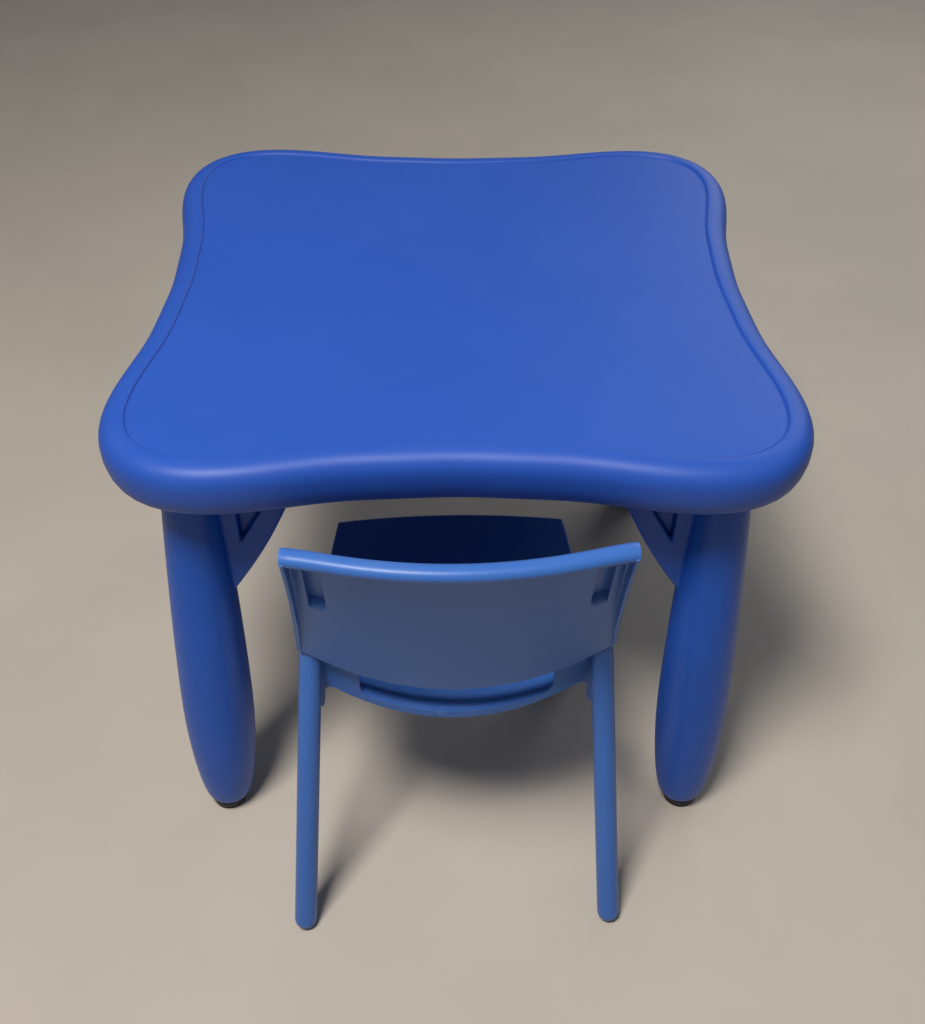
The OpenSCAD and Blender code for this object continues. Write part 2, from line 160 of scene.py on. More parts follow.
def circle(radius, z, steps=48, centre=(0, 0)):
    """Points of a level circle."""
    return [
        (
            centre[0] + radius * math.cos(2 * math.pi * i / steps),
            centre[1] + radius * math.sin(2 * math.pi * i / steps),
            z,
        )
        for i in range(steps)
    ]


def apply_modifier(obj, kind, **settings):
    """Adds one modifier and applies it."""
    object_mode_with(obj)
    modifier = obj.modifiers.new(kind.lower(), kind)
    for key, value in settings.items():
        setattr(modifier, key, value)
    bpy.ops.object.modifier_apply(modifier=modifier.name)
    return obj


def soften(obj, width_mm, angle=35, segments=2):
    """Rounds every edge that turns more than angle."""
    return apply_modifier(
        obj,
        "BEVEL",
        width=width_mm * MM,
        segments=segments,
        limit_method="ANGLE",
        angle_limit=math.radians(angle),
        harden_normals=False,
    )


def cut_away(obj, *cutters):
    """Subtracts each cutter from obj and deletes it."""
    for cutter in cutters:
        apply_modifier(obj, "BOOLEAN", operation="DIFFERENCE", solver="EXACT", object=cutter)
        bpy.data.objects.remove(cutter)
    return obj


def joined(name, *parts):
    """One object out of several."""
    object_mode_with(*parts)
    bpy.ops.object.join()
    obj = bpy.context.object
    obj.name = name
    obj.data.name = name
    return obj


def smooth(obj, angle=35):
    """Smooth shading, with creases kept where the surface turns more than angle."""
    object_mode_with(obj)
    bpy.ops.object.shade_smooth_by_angle(angle=math.radians(angle))
    return obj


def put(obj, x, y, z=0.0, turn=0.0):
    """Turns and moves obj, in metres, and leaves its origin at the world's."""
    object_mode_with(obj)
    obj.rotation_euler = (0, 0, turn)
    obj.location = (x, y, z)
    bpy.ops.object.transform_apply(location=True, rotation=True, scale=True)
    return obj


def copy_of(obj, name):
    """A copy with a mesh of its own."""
    twin = obj.copy()
    twin.data = obj.data.copy()
    twin.name = name
    twin.data.name = name
    bpy.context.scene.collection.objects.link(twin)
    return twin


def turned_out(obj):
    """Merges doubles and points every face outwards."""
    object_mode_with(obj)
    bpy.ops.object.mode_set(mode="EDIT")
    bpy.ops.mesh.select_all(action="SELECT")
    bpy.ops.mesh.remove_doubles(threshold=0.00001)
    bpy.ops.mesh.normals_make_consistent(inside=False)
    bpy.ops.object.mode_set(mode="OBJECT")
    return obj


def count(obj):
    """Prints a piece's size, for the reader."""
    print(f"{obj.name}: {len(obj.data.vertices)} vertices, {len(obj.data.polygons)} faces")


def mix(a, b, t):
    """The value a share t of the way from a to b."""
    return a + (b - a) * t


# %% [markdown]
# ## The tabletop
#
# The top is a square whose sides are drawn in at the middle, with a fat rounded rim 24 mm wide
# round a flat panel that lies 2 mm lower, with a fine groove along the step.  The outline is a
# circle with three waves added to its radius, which gives the corners and the waists with one
# formula.  The rim is then a section swept round that outline, always square to it, so that its
# width stays the same everywhere.

# %% The wave outline
OUTLINE_STEPS = 240


def wave(a):
    """Radius of the outline at angle a, as a share of its mean radius."""
    return 1 - 0.175 * math.cos(4 * a) + 0.044 * math.cos(8 * a) - 0.010 * math.cos(12 * a)


widest = max(wave(math.radians(i)) * math.cos(math.radians(i)) for i in range(360))
mean_r = (table_half - rim_w) / widest


def outline(offset, z, steps=OUTLINE_STEPS):
    """A ring at height z, standing offset outside the panel's edge line."""
    points = []
    for i in range(steps):
        a = 2 * math.pi * i / steps
        da = 0.0005
        before = Vector((math.cos(a - da), math.sin(a - da))) * wave(a - da)
        after = Vector((math.cos(a + da), math.sin(a + da))) * wave(a + da)
        along = (after - before).normalized()
        x = mean_r * wave(a) * math.cos(a) + offset * along.y
        y = mean_r * wave(a) * math.sin(a) - offset * along.x
        points.append((x, y, z))
    return points


# %% The rim's section, from the panel over the rim and back under the panel
SHOULDER = 21
belly_z = rim_top_z - SHOULDER
GROOVE_DEPTH = 0.6
CROWN_START = 3
ROUNDNESS = 0.85
UNDERSIDE_ROUNDNESS = 0.9
section = [(-30, panel_z), (-3, panel_z), (-1.3, panel_z - 0.05)]
section += [(-0.9, panel_z - 0.5), (-0.2, panel_z - GROOVE_DEPTH)]
section += [(0.3, panel_z + 0.3), (0.8, panel_z + 1.5), (1.5, panel_z + 1.9)]
for i in range(12):
    a = math.radians(90 * i / 11)
    reach = rim_w - (rim_w - CROWN_START) * (1 - math.sin(a) ** ROUNDNESS)
    section.append((reach, belly_z + SHOULDER * math.cos(a) ** ROUNDNESS))
for i in range(1, 10):
    t = i / 9
    reach = rim_w - (rim_w - lip_w - 2.5) * (1 - math.cos(math.radians(90 * t)))
    drop = (belly_z - lip_z - 3.2) * math.sin(math.radians(90 * t)) ** UNDERSIDE_ROUNDNESS
    section.append((reach, belly_z - drop))
section += [(lip_w + 2.9, lip_z + 2.4), (lip_w + 2.9, lip_z + 0.9), (lip_w + 2.2, lip_z)]
section += [(lip_w - 0.6, lip_z), (lip_w - 1.4, lip_z + 0.8), (lip_w, lip_z + 6)]
section += [(rim_w - top_wall, belly_z), (rim_w * 0.55, belly_z + SHOULDER * 0.6)]
section += [(0, panel_z - top_wall)]

# %% Sweep the section round the outline
table_top = loft("table_top", [outline(o, z) for o, z in section])
smooth(table_top, 40)
count(table_top)

# %% [markdown]
# ## Ribs and screw bosses under the top
#
# A moulded panel is stiffened from below by thin ribs in both directions, and the leg screws bite
# into round bosses.  Each rib is a bar cut to the outline's length at its place, tapered a little
# towards its edge as the mould needs, so that it comes out of the mould.

# %% Ribs
FLANGE_SEAT = 2
RIB_RISE = 6
FLANGE_TOP_Z = lip_z + FLANGE_SEAT
RIB_LOW_Z = FLANGE_TOP_Z + RIB_RISE
RIB_PITCH = 66
RIB_T = 3
RIB_EDGE_T = 2
RIB_END_GAP = 8
OVERLAP = 0.5
rib_line = outline(-RIB_END_GAP, 0)


def reach_at(k):
    """Half the outline's length along a rib that stands k off the centre line."""
    crossings = []
    for p, q in zip(rib_line, rib_line[1:] + rib_line[:1]):
        if (p[0] - k) * (q[0] - k) <= 0 and p[0] != q[0] and p[1] > 0:
            crossings.append(mix(p[1], q[1], (k - p[0]) / (q[0] - p[0])))
    return max(crossings)


def rib_section(half_t, half_l, z):
    """A level section of a rib."""
    return [(-half_t, -half_l, z), (half_t, -half_l, z), (half_t, half_l, z), (-half_t, half_l, z)]


ribs = []
for k in range(-3, 4):
    half = reach_at(k * RIB_PITCH)
    high = panel_z - top_wall + OVERLAP
    bar = loft("rib", [rib_section(RIB_EDGE_T / 2, half, RIB_LOW_Z), rib_section(RIB_T / 2, half, high)])
    soften(bar, 0.5, segments=2)
    put(bar, k * RIB_PITCH * MM, 0)
    across = copy_of(bar, "rib")
    put(across, 0, 0, turn=math.pi / 2)
    ribs += [bar, across]
print(len(ribs), "ribs")

# %% Bosses
LEG_INSET = 71
LEG_TOP_XY = table_half - LEG_INSET
SCREW_CIRCLE_R = 32
BOSS_R = 7
SCREW_R = 2.5
HOLE_R = SCREW_R + 0.3
INSERT_HOLE_R = 4.05
INSERT_L = 14
HOLE_L = 19
bosses = []
first_boss = loft(
    "boss",
    [
        circle(HOLE_R, FLANGE_TOP_Z + HOLE_L, 32),
        circle(HOLE_R, FLANGE_TOP_Z + INSERT_L, 32),
        circle(INSERT_HOLE_R, FLANGE_TOP_Z + INSERT_L, 32),
        circle(INSERT_HOLE_R, FLANGE_TOP_Z + 0.5, 32),
        circle(4.5, FLANGE_TOP_Z, 32),
        circle(BOSS_R - 0.6, FLANGE_TOP_Z, 32),
        circle(BOSS_R, FLANGE_TOP_Z + 0.6, 32),
        circle(BOSS_R + 0.6, panel_z - top_wall + OVERLAP, 32),
    ],
)
for sx, sy in CORNERS.values():
    for quarter in range(4):
        a = math.radians(45 + 90 * quarter)
        boss = copy_of(first_boss, "boss")
        x = sx * LEG_TOP_XY + SCREW_CIRCLE_R * math.cos(a)
        y = sy * LEG_TOP_XY + SCREW_CIRCLE_R * math.sin(a)
        bosses.append(put(boss, x * MM, y * MM))
bpy.data.objects.remove(first_boss)
table_top = joined("table_top", *ribs, *bosses, table_top)
put(table_top, table_x, table_y)
smooth(table_top, 40)
count(table_top)

# %% [markdown]
# ## A table leg
#
# The leg is a hollow club: thickest at a third of its height, narrow at the foot, and slimmer
# again under its flange, with its axis leaning outwards to the corner.  Two webs, each with a
# small three-cornered pocket in both faces, run from it to the flange.  In the real moulding all
# of these flow into each other, so here they are made apart, fused by a voxel remesh, and
# smoothed, which rounds the joints as the mould does.

# %% The club
LEG_FOOT_Z = 14
LEG_SPLAY = 18
BULGE_Z = 160
LEG_R_MAX = 35.4
LEG_R_FOOT = 20
LEG_R_TOP = 24
lean = math.atan(LEG_SPLAY * math.sqrt(2) / FLANGE_TOP_Z)


def leg_radius(z):
    """The club's radius at a height measured along it."""
    if z < BULGE_Z:
        t = max(0.0, (z - LEG_FOOT_Z) / (BULGE_Z - LEG_FOOT_Z))
        return LEG_R_FOOT + (LEG_R_MAX - LEG_R_FOOT) * math.sqrt(math.sin(math.radians(90 * t)))
    t = (z - BULGE_Z) / (FLANGE_TOP_Z - BULGE_Z)
    return LEG_R_MAX - (LEG_R_MAX - LEG_R_TOP) * t**1.5


def along_leg(points):
    """Leans upright points outwards over the foot, towards +X and +Y."""
    turn = Matrix.Rotation(-lean, 3, Vector((-1, 1, 0)))
    return [tuple(turn @ Vector(p) + Vector((LEG_SPLAY, LEG_SPLAY, 0))) for p in points]


club_heights = [LEG_FOOT_Z + (BULGE_Z - LEG_FOOT_Z) * (i / 14) ** 2 for i in range(15)]
club_heights += [mix(BULGE_Z, FLANGE_TOP_Z - 3, i / 14) for i in range(1, 15)]
club_rings = [circle(leg_radius(z), z, 64) for z in club_heights]
club_rings.insert(0, circle(LEG_R_FOOT - 1.5, LEG_FOOT_Z, 64))
club_rings[1] = circle(LEG_R_FOOT, LEG_FOOT_Z + 1.2, 64)
club = loft("club", [along_leg(r) for r in club_rings])
count(club)

# %% A web with a pocket in each face
GUSSET_REACH = 96
GUSSET_H = 136
GUSSET_T = 20
POCKET_CUT_HALF = 20
POCKET_WEB_HALF = 2
POCKET_STILE = 14
POCKET_SILL = 58
POCKET_TOP_RAIL = 16
POCKET_POINT = 22
gusset_low = FLANGE_TOP_Z - GUSSET_H


def plate(name, outline_xz, half_t):
    """An upright plate with the given outline in X and Z."""
    near = [(x, -half_t, z) for x, z in outline_xz]
    far = [(x, half_t, z) for x, z in outline_xz]
    return loft(name, [near, far])


bowed_edge = []
for i in range(13):
    t = i / 12
    x = mix(-LEG_R_MAX * 0.75, -GUSSET_REACH, t) - 6 * math.sin(math.pi * t) * (1 - 0.5 * t)
    bowed_edge.append((x, mix(gusset_low - 2, FLANGE_TOP_Z - 8, t)))
web_high = FLANGE_TOP_Z - 0.5
web_outline = [(0, gusset_low - 30), *bowed_edge, (-GUSSET_REACH, web_high), (0, web_high)]
web = plate("web", web_outline, GUSSET_T / 2)
soften(web, 3.5, 40, 3)
pockets = []
for side in (-1, 1):
    pocket = plate(
        "pocket",
        [
            (-LEG_R_TOP - POCKET_STILE, gusset_low + POCKET_SILL),
            (-LEG_R_TOP - POCKET_STILE, FLANGE_TOP_Z - POCKET_TOP_RAIL),
            (-GUSSET_REACH + POCKET_POINT, FLANGE_TOP_Z - POCKET_TOP_RAIL),
        ],
        POCKET_CUT_HALF,
    )
    pockets.append(put(pocket, 0, side * (POCKET_CUT_HALF + POCKET_WEB_HALF) * MM))
cut_away(web, *pockets)
other_web = copy_of(web, "web")
put(other_web, 0, 0, turn=math.pi / 2)

# %% The flange, then all fused
FLANGE_R = 39
FLANGE_T = 6
flange = loft(
    "flange",
    [
        circle(FLANGE_R - 1, FLANGE_TOP_Z - FLANGE_T, 64),
        circle(FLANGE_R, FLANGE_TOP_Z - FLANGE_T + 1, 64),
        circle(FLANGE_R, web_high, 64),
    ],
)
leg_form = joined("leg_form", club, web, other_web, flange)
VOXEL = 1.7
leg_form.data.remesh_voxel_size = VOXEL * MM
leg_form.data.remesh_voxel_adaptivity = 0
object_mode_with(leg_form)
bpy.ops.object.voxel_remesh()
apply_modifier(leg_form, "SMOOTH", factor=0.5, iterations=7)
count(leg_form)

# %% A copy for each corner
table_legs = {}
for corner, (sx, sy) in CORNERS.items():
    leg = copy_of(leg_form, "table_leg_" + corner)
    object_mode_with(leg)
    leg.scale = (sx, sy, 1)
    bpy.ops.object.transform_apply(location=True, rotation=True, scale=True)
    turned_out(leg)
    put(leg, table_x + sx * LEG_TOP_XY * MM, table_y + sy * LEG_TOP_XY * MM)
    smooth(leg, 60)
    table_legs[corner] = leg
bpy.data.objects.remove(leg_form)
print("legs:", sorted(table_legs))

# %% [markdown]
# ## Screw feet
#
# Each leg stands on a black knob with grip ribs, which turns to level the table, and a rubber pad
# that swivels under it.  The knob is a star-shaped ring raised in a few steps, so that the ribs,
# the grooves and the rounded edges come from one loft.

# %% The knob and the pad
PAD_H = 3.7
KNOB_Z = PAD_H + 0.3
KNOB_H = 9.7
KNOB_RIBS = 28


def ribbed(radius, depth, z):
    """A level ring with the knob's grip ribs."""
    steps = KNOB_RIBS * 8
    points = []
    for i in range(steps):
        a = 2 * math.pi * i / steps
        r = radius - depth * (0.5 - 0.5 * math.cos(KNOB_RIBS * a)) ** 1.6
        points.append((r * math.cos(a), r * math.sin(a), z))
    return points


knob_rings = [
    ribbed(7.4, 0, KNOB_Z + 4),
    ribbed(7.4, 0, KNOB_Z),
    ribbed(16.6, 0, KNOB_Z),
    ribbed(17.6, 0.1, KNOB_Z + 0.5),
    ribbed(18.8, 0.7, KNOB_Z + 1.4),
    ribbed(19.5, 0.8, KNOB_Z + KNOB_H - 2.4),
    ribbed(18.9, 0.5, KNOB_Z + KNOB_H - 0.9),
    ribbed(17.8, 0, KNOB_Z + KNOB_H),
    ribbed(5, 0, KNOB_Z + KNOB_H),
    ribbed(5, 0, KNOB_Z + KNOB_H + 40),
    ribbed(4.2, 0, KNOB_Z + KNOB_H + 41.5),
]
knob_form = loft("knob_form", knob_rings)
pad_form = loft(
    "pad_form",
    [
        circle(16.0, 0, 64),
        circle(16.7, 0.1, 64),
        circle(17.3, 0.8, 64),
        circle(17.5, 2.4, 64),
        circle(17.2, 3.4, 64),
        circle(16.4, PAD_H, 64),
        circle(7, PAD_H, 64),
        circle(7, PAD_H + 4.4, 64),
        circle(6.4, PAD_H + 5, 64),
    ],
)
feet = {}
pads = {}
for corner in CORNERS:
    low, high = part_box("foot_pad_" + corner)
    x, y = (low.x + high.x) / 2, (low.y + high.y) / 2
    feet[corner] = smooth(put(copy_of(knob_form, "knob_" + corner), x, y), 40)
    pads[corner] = smooth(put(copy_of(pad_form, "pad_" + corner), x, y), 40)
count(feet["front_left"])
bpy.data.objects.remove(knob_form)
bpy.data.objects.remove(pad_form)

# %% [markdown]
# ## The chair's backrest
#
# The backrest is a piece of a cone round an upright axis in front of it, leaning backwards.  Its
# rear face is a shallow tray: side flanges that are deepest at the top, a rolled rim above, and
# near each side a pocket left by the mould, with a soft swelling in front of it.  Plan sections
# are stacked from the lower edge to the top, so the fillets between panel and flanges are part
# of the same skin.

# %% The backrest's surface
ROLL_Z = back_top_z - roll_r
LOW_EDGE_SLOPE = math.tan(math.radians(53))
LOW_EDGE_LIFT = 4
BACK_HOLLOW = 2.5


def back_r(z):
    """Radius of the panel's rear face at height z, a little hollow at mid-height."""
    t = (z - back_low_z) / (ROLL_Z - back_low_z)
    hollow = BACK_HOLLOW * math.sin(math.pi * min(1, max(0, t)))
    return back_low_r + back_lean * t - hollow


def on_back(x, z, depth):
    """The point at x and z that stands depth behind the panel's rear face."""
    r = back_r(z) + depth
    return (x, back_axis_y - math.sqrt(r * r - x * x), z)


def back_low_edge(x):
    """Height of the backrest's lower edge, which dips towards the middle."""
    z = back_low_z
    for _ in range(8):
        y = on_back(x, z, 0)[1]
        z = back_low_z + LOW_EDGE_LIFT + LOW_EDGE_SLOPE * (y - (back_axis_y - back_low_r))
    return z


# %% One plan section of the backrest
FLANGE_DEPTH = 13
SIDE_FLARE = 5
FLARE_LOW_Z = 340
POCKET_DEPTH = 7


def sheet_xs():
    """The stations across the panel, close together where a pocket starts and ends."""
    xs = [4 * i for i in range(0, 26)]
    xs += [98.2, 102.3, 104.7, 105.6, 109.0, 114.8, 118.3, 119.2, 121.5, 123.8, 125.6]
    return sorted([-x for x in xs if x] + xs)


def pocket_share(x, z):
    """1 inside a pocket and 0 outside it."""
    inside_x = min(1, max(0, (abs(x) - 104.7) / 0.9)) * min(1, max(0, (119.2 - abs(x)) / 0.9))
    inside_z = min(1, max(0, (z - 420) / 6)) * min(1, max(0, (489 - z) / 1.2))
    return inside_x * inside_z


def bulge_share(x, z):
    """How far the panel's front face swells over a pocket, with soft shoulders."""
    swell = 1.0
    for value, low, high in (
        (abs(x), 96.5, 104.7),
        (-abs(x), -126.5, -119.2),
        (z, 404, 420),
        (-z, -494, -489),
    ):
        t = min(1, max(0, (value - low) / (high - low)))
        swell *= t * t * (3 - 2 * t)
    return swell


def back_section(share):
    """A closed ring through the backrest, share of the way from its lower edge to the roll."""
    ring = []

    def add(x, depth_share, depth):
        low = back_low_edge(x)
        z = mix(low, ROLL_Z, share)
        flange = max(0.6, FLANGE_DEPTH * (z - back_low_z - 18) / (ROLL_Z - back_low_z - 18))
        ring.append(on_back(x, z, depth_share * flange + depth))

    def add_wall(side, inward, depth_share, depth):
        z = mix(back_low_edge(side * back_half), ROLL_Z, share)
        flare = SIDE_FLARE * (1 - (z - FLARE_LOW_Z) / (ROLL_Z - FLARE_LOW_Z)) ** 2
        add(side * (back_half + flare - inward), depth_share, depth)

    for side in (-1, 1):
        wall = [(127.2, 0, 0), (128.4, 0.08, 0), (129.0, 0.25, 0), (129.2, 0.85, 0), (129.6, 0.96, 0)]
        wall += [(130.6, 1, 0), (131.9, 1, 0), (132.7, 0.96, 0), (133, 0.85, 0)]
        wall += [(133, 0.1, 0), (133, 0, -2.8), (132.6, 0, -3.7), (131.4, 0, -4)]
        if side < 0:
            for x, depth_share, depth in reversed(wall):
                add_wall(-1, back_half - x, depth_share, depth)
            for x in sheet_xs():
                z = mix(back_low_edge(x), ROLL_Z, share)
                add(x, 0, -POCKET_DEPTH * pocket_share(x, z))
        else:
            for x, depth_share, depth in wall:
                add_wall(1, back_half - x, depth_share, depth)
    for x in reversed(sheet_xs()):
        z = mix(back_low_edge(x), ROLL_Z, share)
        add(x, 0, -4 - (POCKET_DEPTH - 2.5) * bulge_share(x, z))
    return ring


# %% Stack the sections
shares = [0, 0.004, 0.012] + [i / 40 for i in range(1, 40)]
shares += [0.888, 0.905, 0.918, 0.955, 0.962, 0.968, 1.0]
shares = sorted(set(shares))
back_panel = loft("back_panel", [back_section(s) for s in shares])
soften(back_panel, 0.9, 55, 2)
count(back_panel)

# %% The rolled rim along the top
roll_rings = []
ROLL_STEPS = 72
ROLL_DEPTH_R = 8
ROLL_END_SHIFT = 3.5
for i in range(ROLL_STEPS + 1):
    x = mix(-back_half, back_half, i / ROLL_STEPS)
    end = min(i, ROLL_STEPS - i)
    shrink = (0.9, 0.985, 1.0)[min(end, 2)] if end < 3 else 1.0
    r0 = back_r(ROLL_Z) + 1 + ROLL_END_SHIFT * abs(x / back_half) ** 8
    ring = []
    for k in range(32):
        a = 2 * math.pi * k / 32
        depth = ROLL_DEPTH_R * shrink * math.cos(a)
        rise = roll_r * shrink * math.sin(a)
        r = r0 + depth
        ring.append((x, back_axis_y - math.sqrt(r * r - x * x), ROLL_Z + rise))
    roll_rings.append(ring)
roll = loft("roll", roll_rings)
count(roll)

# %% [markdown]
# ## The wall under the backrest
#
# Between the seat and the backrest stands a curved wall with a wide hand slot.  Its lower edge
# rises towards the sides, and beside each leg it ends in a small pointed web.  It is cut out flat,
# as from a sheet, with its slot and arches, and then bent to its curve by moving every vertex to
# the cone: cutting is clean on flat work.

# %% Cut it out flat
WALL_HALF = 127
WALL_LOW_Z = 250
WEB_LOW_Z = 238
WALL_HIGH_Z = 345
SLOT_HALF = 87
SLOT_LOW_Z = 259
LOW_EDGE_RISE = 0.0018
object_mode_with()
bpy.ops.mesh.primitive_grid_add(x_subdivisions=84, y_subdivisions=30, size=2)
rear_wall = bpy.context.object
rear_wall.name = "rear_wall"
for v in rear_wall.data.vertices:
    v.co = Vector((v.co.x * WALL_HALF, 0, mix(WEB_LOW_Z, WALL_HIGH_Z, (v.co.y + 1) / 2))) * MM
turned = rear_wall.data.polygons[0].normal.y > 0
apply_modifier(rear_wall, "SOLIDIFY", thickness=shell_t * MM, offset=1 if turned else -1)
flat_y = [v.co.y for v in rear_wall.data.vertices]
print("flat wall from y", round(min(flat_y) / MM, 2), "to", round(max(flat_y) / MM, 2))


def wall_low_edge(x):
    """Height of the wall's lower edge, which rises towards both sides."""
    return WALL_LOW_Z + LOW_EDGE_RISE * x * x


def rounded_box(name, x0, x1, z0, z1, radius):
    """A cutter through the flat wall, with rounded lower corners."""
    outline_xz = []
    for i in range(7):
        a = math.radians(180 + 90 * i / 6)
        outline_xz.append((x0 + radius + radius * math.cos(a), z0 + radius + radius * math.sin(a)))
    for i in range(7):
        a = math.radians(270 + 90 * i / 6)
        outline_xz.append((x1 - radius + radius * math.cos(a), z0 + radius + radius * math.sin(a)))
    low_side = [(x, z + LOW_EDGE_RISE * x * x) for x, z in outline_xz]
    middle = [mix(x0 + radius, x1 - radius, i / 20) for i in range(1, 20)]
    low_middle = [(x, z0 + LOW_EDGE_RISE * x * x) for x in middle]
    outline_xz = low_side[:7] + low_middle + low_side[7:] + [(x1, z1), (x0, z1)]
    return plate(name, outline_xz, 30)


slot_cutter = rounded_box("slot_cutter", -SLOT_HALF, SLOT_HALF, SLOT_LOW_Z, back_low_z + 14, 9)
arch = [(-WALL_HALF + 3, WEB_LOW_Z - 1), (-WALL_HALF + 5.5, WEB_LOW_Z + 8)]
for i in range(9):
    a = math.radians(180 - 90 * i / 8)
    x = -WALL_HALF + 16 + 9 * math.cos(a)
    arch.append((x, wall_low_edge(-WALL_HALF + 16) - 9 + 9 * math.sin(a)))
edge_half = WALL_HALF - 18
sag_xs = [mix(-edge_half, edge_half, i / 30) for i in range(31)]
sag = [(x, wall_low_edge(x)) for x in sag_xs]
under = arch + sag + [(-x, z) for x, z in reversed(arch)]
under_cutter = plate("under_cutter", under, 30)
cut_away(rear_wall, slot_cutter, under_cutter)
soften(rear_wall, 0.7, 55, 2)
count(rear_wall)

# %% Bend it to the cone
WALL_PROFILE = [
    (WEB_LOW_Z - 1, seat_rear_r),
    (WALL_LOW_Z + 12, seat_rear_r),
    (300, seat_rear_r + 1.5),
    (320, seat_rear_r + 4),
    (WALL_HIGH_Z + 1, back_r(WALL_HIGH_Z) - 2),
]


def wall_r(z):
    """Radius of the wall's rear face at height z."""
    for (z0, r0), (z1, r1) in zip(WALL_PROFILE, WALL_PROFILE[1:]):
        if z <= z1:
            return mix(r0, r1, (z - z0) / (z1 - z0))
    return WALL_PROFILE[-1][1]


y_front = min(v.co.y for v in rear_wall.data.vertices)
for v in rear_wall.data.vertices:
    x, y, z = v.co / MM
    depth = y - y_front / MM
    r = wall_r(z) - depth
    v.co = Vector((x, back_axis_y - math.sqrt(r * r - x * x), z)) * MM

# %% [markdown]
# ## The seat
#
# The seat is a thin pan with a skirt round it: widest towards the back, narrower at its bowed
# front edge, tilted back a little, dished by a few millimetres and raised at its rear corners to
# meet the wall.  A flat grid is laid out on those arcs, its open edge is extruded down for the
# skirt, except behind, where the wall stands, and the whole is given its thickness.

# %% Lay out the pan
seat_rear_y = back_axis_y - seat_rear_r
SEAT_DROP = 8
SEAT_DISH = 4.5
seat_tilt = math.atan(SEAT_DROP / (seat_reach - seat_rear_y))
WIDEST_Y = seat_reach * WIDEST_SHARE


def seat_half_width(y):
    """Half the seat's width at y."""
    return seat_half - (seat_side_r - math.sqrt(seat_side_r**2 - (y - WIDEST_Y) ** 2))


def on_seat(u, v):
    """The pan's point at share u across and v along, both from -1 to 1."""
    x, y = 0.0, 0.0
    for _ in range(6):
        rear = back_axis_y - math.sqrt((seat_rear_r - PAN_SHY) ** 2 - x * x)
        front = seat_reach + seat_front_bow - seat_front_r + math.sqrt(seat_front_r**2 - x * x)
        y = mix(rear, front, (v + 1) / 2)
        x = u * seat_half_width(y)
    dish = SEAT_DISH * math.cos(u * math.pi / 2) ** 2 * math.sin(math.pi * min(1, (1.12 - v) / 2.12)) ** 2
    rise = LOW_EDGE_RISE * x * x * min(1, max(0, 1 - (v + 1) / 1.3)) ** 1.5
    z = seat_h - (seat_reach - y) * math.tan(seat_tilt) - dish + rise
    return Vector((x, y, z)) * MM


object_mode_with()
bpy.ops.mesh.primitive_grid_add(x_subdivisions=48, y_subdivisions=48, size=2)
seat = bpy.context.object
seat.name = "seat"
rear_row = {v.index for v in seat.data.vertices if v.co.y < -0.999}
for v in seat.data.vertices:
    v.co = on_seat(v.co.x, v.co.y)
bpy.ops.object.mode_set(mode="EDIT")
bpy.ops.mesh.select_mode(type="EDGE")
bpy.ops.mesh.select_all(action="DESELECT")
bpy.ops.mesh.select_non_manifold(extend=False, use_wire=False, use_boundary=True)
bpy.ops.object.mode_set(mode="OBJECT")
behind = {i for i in rear_row if abs(seat.data.vertices[i].co.x) < SKIRT_GAP_HALF * MM}
for edge in seat.data.edges:
    if behind.issuperset(edge.vertices):
        edge.select = False
for i in behind:
    seat.data.vertices[i].select = False
bpy.ops.object.mode_set(mode="EDIT")
bpy.ops.mesh.extrude_edges_move(TRANSFORM_OT_translate={"value": (0, 0, -skirt_h * MM)})
bpy.ops.mesh.select_all(action="SELECT")
bpy.ops.mesh.normals_make_consistent(inside=False)
bpy.ops.mesh.select_mode(type="VERT")
bpy.ops.object.mode_set(mode="OBJECT")
upwards = seat.data.polygons[len(seat.data.polygons) // 3].normal.z > 0
soften(seat, 2.2, 50, 3)
apply_modifier(seat, "SOLIDIFY", thickness=shell_t * 0.98 * MM, offset=-1 if upwards else 1)
soften(seat, 0.8, 60, 2)
count(seat)

# %% [markdown]
# ## The chair's legs
#
# Four round legs taper upwards and end in a ball at the floor.  Each is a stack of circles along
# the line from its foot to its top, and a small black cap stands under the ball.

# %% Legs of the chair
CHAIR_LEG_R = 11
CHAIR_LEG_TOP_R = 10
GLIDE_SHARE = 0.7
chair_foot = {
    "front_left": (-150, 326),
    "front_right": (150, 326),
    "rear_left": (-152.5, 0),
    "rear_right": (152.5, 0),
}
chair_top = {
    "front_left": (-113, 275, 263.5),
    "front_right": (113, 275, 263.5),
    "rear_left": (-128, 84, 326),
    "rear_right": (128, 84, 326),
}


def aimed(points, start, end):
    """Upright points set along the line from start to end."""
    direction = (Vector(end) - Vector(start)).normalized()
    turn = direction.to_track_quat("Z", "Y").to_matrix()
    return [tuple(turn @ Vector(p) + Vector(start)) for p in points]


